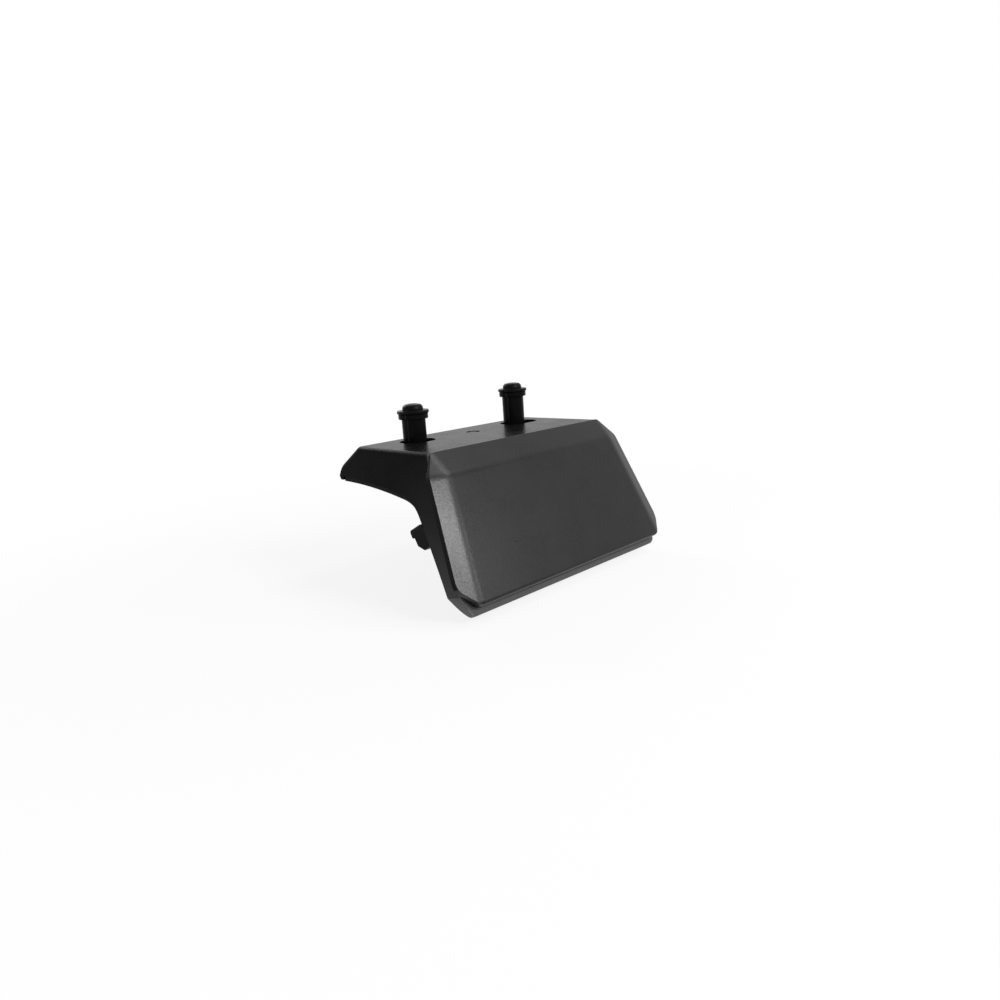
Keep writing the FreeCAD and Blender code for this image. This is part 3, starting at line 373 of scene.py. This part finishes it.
def rounded_outline(corners, step):
    """A closed outline from (point, radius) corners, with points about a step apart."""
    ends = []
    for index, (corner, radius) in enumerate(corners):
        before = (corners[index - 1][0] - corner).normalized()
        after = (corners[(index + 1) % len(corners)][0] - corner).normalized()
        half = before.angle(after) / 2
        middle = corner + (before + after).normalized() * radius / math.sin(half)
        start = corner + before * radius / math.tan(half) - middle
        turn = start.angle_signed(corner + after * radius / math.tan(half) - middle)
        parts = max(2, math.ceil(abs(turn) * radius / step))
        ends.append([middle + Matrix.Rotation(-turn * part / parts, 2) @ start
                     for part in range(parts + 1)])
    outline = []
    for index, arc in enumerate(ends):
        outline += arc
        gap = ends[(index + 1) % len(ends)][0] - arc[-1]
        parts = math.ceil(gap.length / step)
        outline += [arc[-1] + gap * part / parts for part in range(1, parts)]
    return outline


def grained_cover():
    """The moulded cover as a shell: bevelled face, thin edge and an even hollow behind."""
    corner_down = COVER_FOOT - CORNER_RISE
    right = [(Vector((TOP_HALF_WIDTH, COVER_GAP)), TOP_RADIUS),
             (Vector((SHOULDER_HALF_WIDTH, SHOULDER_DOWN)), SHOULDER_RADIUS),
             (Vector((side_half_width(corner_down), corner_down)), CORNER_RADIUS),
             (Vector((side_half_width(corner_down) - CORNER_RUN, COVER_FOOT)), FOOT_RADIUS)]
    outline = rounded_outline(
        right + [(Vector((-c.x, c.y)), radius) for c, radius in reversed(right)], OUTLINE_STEP)
    heart = Vector((0, COVER_FOOT / 2))
    made = bmesh.new()

    def ring(share, height):
        points = []
        for point in outline:
            inner = Vector((point.x * HEART_ACROSS, heart.y + (point.y - heart.y) * HEART_DOWN))
            at = point.lerp(inner, share)
            points.append(made.verts.new(
                PANEL_TOP + Vector((at.x, 0, 0)) + PANEL_DOWN * at.y
                + PANEL_OUT * height(at.x, at.y)))
        return points

    def seat(across, down):
        return COVER_GAP

    def hollow(across, down):
        return max(COVER_GAP, cover_height(across, down) - COVER_WALL)

    face = [ring((step / FACE_RINGS) ** RING_CROWDING, cover_height)
            for step in range(FACE_RINGS + 1)]
    rim = ring(0, seat)
    back = [rim, ring(RIM_SHARE, seat)] + [
        ring(RIM_SHARE + (1 - RIM_SHARE) * step / HOLLOW_RINGS, hollow)
        for step in range(HOLLOW_RINGS + 1)]
    skin(made, face)
    skin(made, back)
    made.faces.new(face[-1])
    made.faces.new(back[-1])
    skin(made, [face[0], rim], material=1)
    # The darker edge with its painted shade runs down both sides; round the corners and the foot the
    # grain goes on.
    for facet in made.faces:
        if (facet.calc_center_median() - PANEL_TOP).dot(PANEL_DOWN) > corner_down:
            facet.material_index = 0
    bmesh.ops.remove_doubles(made, verts=made.verts[:], dist=COVER_WELD)
    # The second material is the edge with its painted shade.
    cover = smooth_piece("grained_cover", made, FINISHES["cover_plastic"], painted_shade_nylon_edge())
    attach(cover, "leg")
    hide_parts("front_cover")


grained_cover()

# The clamp screws run square to the leg's back wall; their M6 thread starts after a plain shank.
CLAMP_LEAN = math.radians(29)
CLAMP_ALONG = Vector((0, math.cos(CLAMP_LEAN), -math.sin(CLAMP_LEAN)))
CLAMP_HEAD = 6 * MM
PLAIN_SHANK = 5 * MM
THREAD_PITCH = 1 * MM
THREAD_CREST = 2.97 * MM
THREAD_DEPTH = 0.55 * MM
TIP_CHAMFER = 0.8 * MM
TIP_TOLERANCE = 0.01 * MM
# Points round the thread, and rings of them in one turn of it.
THREAD_SIDES = 28
TURN_RINGS = 8


def threaded_clamp_screw(side):
    """A clamp screw with its thread cut: the solid's head on a shank with a helical groove."""
    solid = frame["nodes"][side + "_clamp_screw"]
    made = bmesh.new()
    made.from_mesh(solid.data)
    bmesh.ops.remove_doubles(made, verts=made.verts[:], dist=SCREW_WELD)
    low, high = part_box(side + "_clamp_screw")
    across = (low[0] + high[0]) / 2
    reach = [vertex.co.dot(CLAMP_ALONG) for vertex in made.verts]
    start = min(reach) + CLAMP_HEAD + PLAIN_SHANK
    tip = max(reach)
    square = CLAMP_ALONG.cross(Vector((1, 0, 0)))
    end = [v.co for v in made.verts if v.co.dot(CLAMP_ALONG) > tip - TIP_TOLERANCE]
    height = sum(point.dot(square) for point in end) / len(end)
    cut = bmesh.ops.bisect_plane(made, geom=made.verts[:] + made.edges[:] + made.faces[:],
                                 plane_co=CLAMP_ALONG * start, plane_no=CLAMP_ALONG,
                                 clear_outer=True)["geom_cut"]
    bmesh.ops.edgeloop_fill(made, edges=[e for e in cut if isinstance(e, bmesh.types.BMEdge)])

    def ring(along):
        points = []
        runout = min(1, (along - start) / THREAD_PITCH)
        chamfer = THREAD_CREST - TIP_CHAMFER + max(0, tip - along)
        for step in range(THREAD_SIDES):
            turn = 2 * math.pi * step / THREAD_SIDES
            phase = (along / THREAD_PITCH - step / THREAD_SIDES) % 1
            groove = THREAD_DEPTH * runout * (1 - abs(2 * phase - 1))
            radius = min(THREAD_CREST - groove, chamfer)
            points.append(made.verts.new(
                CLAMP_ALONG * along + square * (height + radius * math.sin(turn))
                + Vector((across + radius * math.cos(turn), 0, 0))))
        return points

    count = math.ceil((tip - start) / (THREAD_PITCH / TURN_RINGS))
    rings = [ring(start + (tip - start) * step / count) for step in range(count + 1)]
    skin(made, rings)
    made.faces.new(rings[0])
    made.faces.new(rings[-1])
    screw = smooth_piece(side + "_threaded_clamp_screw", made, FINISHES["plated_steel"])
    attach(screw, side + "_screw")
    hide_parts(side + "_clamp_screw")


for clamp_side in ("left", "right"):
    threaded_clamp_screw(clamp_side)

# The floor's half width, its drop below the part, the distances from the frame's origin between
# which its shadow fades out, and the share of plain white that is in it near the part.
FLOOR_REACH = 6.0
FLOOR_DROP = 0.0002
FLOOR_NEAR = 0.12
FLOOR_FAR = 0.4
FLOOR_WHITE = 0.85


def seen_directly(tree):
    """One for rays that meet the eye straight, in a reflection or through glass."""
    rays = node(tree, "ShaderNodeLightPath")
    glossy = node(tree, "ShaderNodeMath", {0: rays.outputs["Is Camera Ray"],
                                           1: rays.outputs["Is Glossy Ray"]}, operation="MAXIMUM")
    return node(tree, "ShaderNodeMath", {0: glossy.outputs[0],
                                         1: rays.outputs["Is Transmission Ray"]},
                operation="MAXIMUM").outputs[0]


def white_floor():
    """A wide white table that keeps a soft shadow and melts into the white behind it."""
    mesh = bpy.data.meshes.new("floor")
    level = CAD_BOX[0][2] - FLOOR_DROP
    sides = ((-1, -1), (1, -1), (1, 1), (-1, 1))
    mesh.from_pydata([(x * FLOOR_REACH, y * FLOOR_REACH, level) for x, y in sides],
                     [], [(0, 1, 2, 3)])
    floor = add_object("floor", mesh)
    material = bpy.data.materials.new("white_paper_floor")
    material.use_nodes = True
    tree = material.node_tree
    tree.nodes.remove(tree.nodes["Principled BSDF"])
    paper = node(tree, "ShaderNodeBsdfDiffuse", {"Color": linear("#f2f2f2")})
    glow = node(tree, "ShaderNodeEmission", {"Color": (1, 1, 1, 1), "Strength": 1.0})
    place = node(tree, "ShaderNodeTexCoord").outputs["Object"]
    far = node(tree, "ShaderNodeVectorMath", {0: place}, operation="LENGTH")
    white = node(tree, "ShaderNodeMapRange",
                 {"Value": far.outputs["Value"], "From Min": FLOOR_NEAR, "From Max": FLOOR_FAR,
                  "To Min": FLOOR_WHITE, "To Max": 1.0}, interpolation_type="SMOOTHSTEP")
    share = node(tree, "ShaderNodeMath", {0: seen_directly(tree), 1: white.outputs[0]},
                 operation="MULTIPLY")
    mix = node(tree, "ShaderNodeMixShader",
               {0: share.outputs[0], 1: paper.outputs[0], 2: glow.outputs[0]})
    tree.links.new(mix.outputs[0], tree.nodes["Material Output"].inputs["Surface"])
    mesh.materials.append(material)


def room_light(ambient):
    """A world that is white where it is seen and gives an even low light elsewhere."""
    world = bpy.data.worlds.new("white_room")
    bpy.context.scene.world = world
    world.use_nodes = True
    tree = world.node_tree
    strength = node(tree, "ShaderNodeMapRange",
                    {"Value": seen_directly(tree), "To Min": ambient, "To Max": 1.0})
    tree.links.new(strength.outputs[0], tree.nodes["Background"].inputs["Strength"])
    tree.nodes["Background"].inputs["Color"].default_value = (1, 1, 1, 1)


def softbox(name, position, target, width, height, power):
    """A rectangular area lamp aimed at a point."""
    lamp = bpy.data.lights.new(name, "AREA")
    lamp.shape = "RECTANGLE"
    lamp.size = width
    lamp.size_y = height
    lamp.energy = power
    holder = add_object(name, lamp)
    aim = Vector(target) - Vector(position)
    holder.location = position
    holder.rotation_euler = aim.to_track_quat("-Z", "Y").to_euler()


def camera(position, azimuth, elevation, roll, focal_pixels, image_pixels=1000):
    """A camera at a place, facing back along its azimuth and elevation, with a roll."""
    az, el, turn = (math.radians(a) for a in (azimuth, elevation, roll))
    back = Vector((math.sin(az) * math.cos(el), -math.cos(az) * math.cos(el), math.sin(el)))
    right = (-back).cross(Vector((0, 0, 1))).normalized()
    up = right.cross(-back)
    across = math.cos(turn) * right + math.sin(turn) * up
    above = -math.sin(turn) * right + math.cos(turn) * up
    data = bpy.data.cameras.new("camera")
    data.sensor_width = 36
    data.lens = focal_pixels / image_pixels * data.sensor_width
    data.clip_start = 0.01
    holder = add_object("camera", data)
    holder.matrix_world = Matrix.Translation(position) @ Matrix(
        (across, above, back)).transposed().to_4x4()
    bpy.context.scene.camera = holder


white_floor()
room_light(ambient=0.25)
softbox("front_key", position=(0.05, -0.9, 0.5), target=(0, -0.03, -0.03),
        width=0.26, height=0.26, power=6.5)
softbox("front_fill", position=(0.47, -0.84, 0.33), target=(0, -0.03, -0.03),
        width=0.22, height=0.22, power=1.6)
softbox("high_right", position=(0.38, -0.43, 0.84), target=(0, -0.03, -0.01),
        width=0.33, height=0.33, power=2.7)
softbox("back_top", position=(0.55, 0.75, 0.5), target=(0, 0, 0),
        width=0.6, height=0.4, power=1.6)
softbox("back_soft", position=(0.05, 0.95, 0.5), target=(0, 0, -0.02),
        width=0.38, height=0.3, power=2.8)
softbox("left_strip", position=(-0.92, 0.22, 0.02), target=(0, 0, 0.005),
        width=0.05, height=0.16, power=0.8)
camera(position=(-0.2911, -0.3049, 0.0514), azimuth=-45.7, elevation=12.1, roll=-3.7,
       focal_pixels=784.7)
bpy.context.scene.view_settings.view_transform = "Standard"
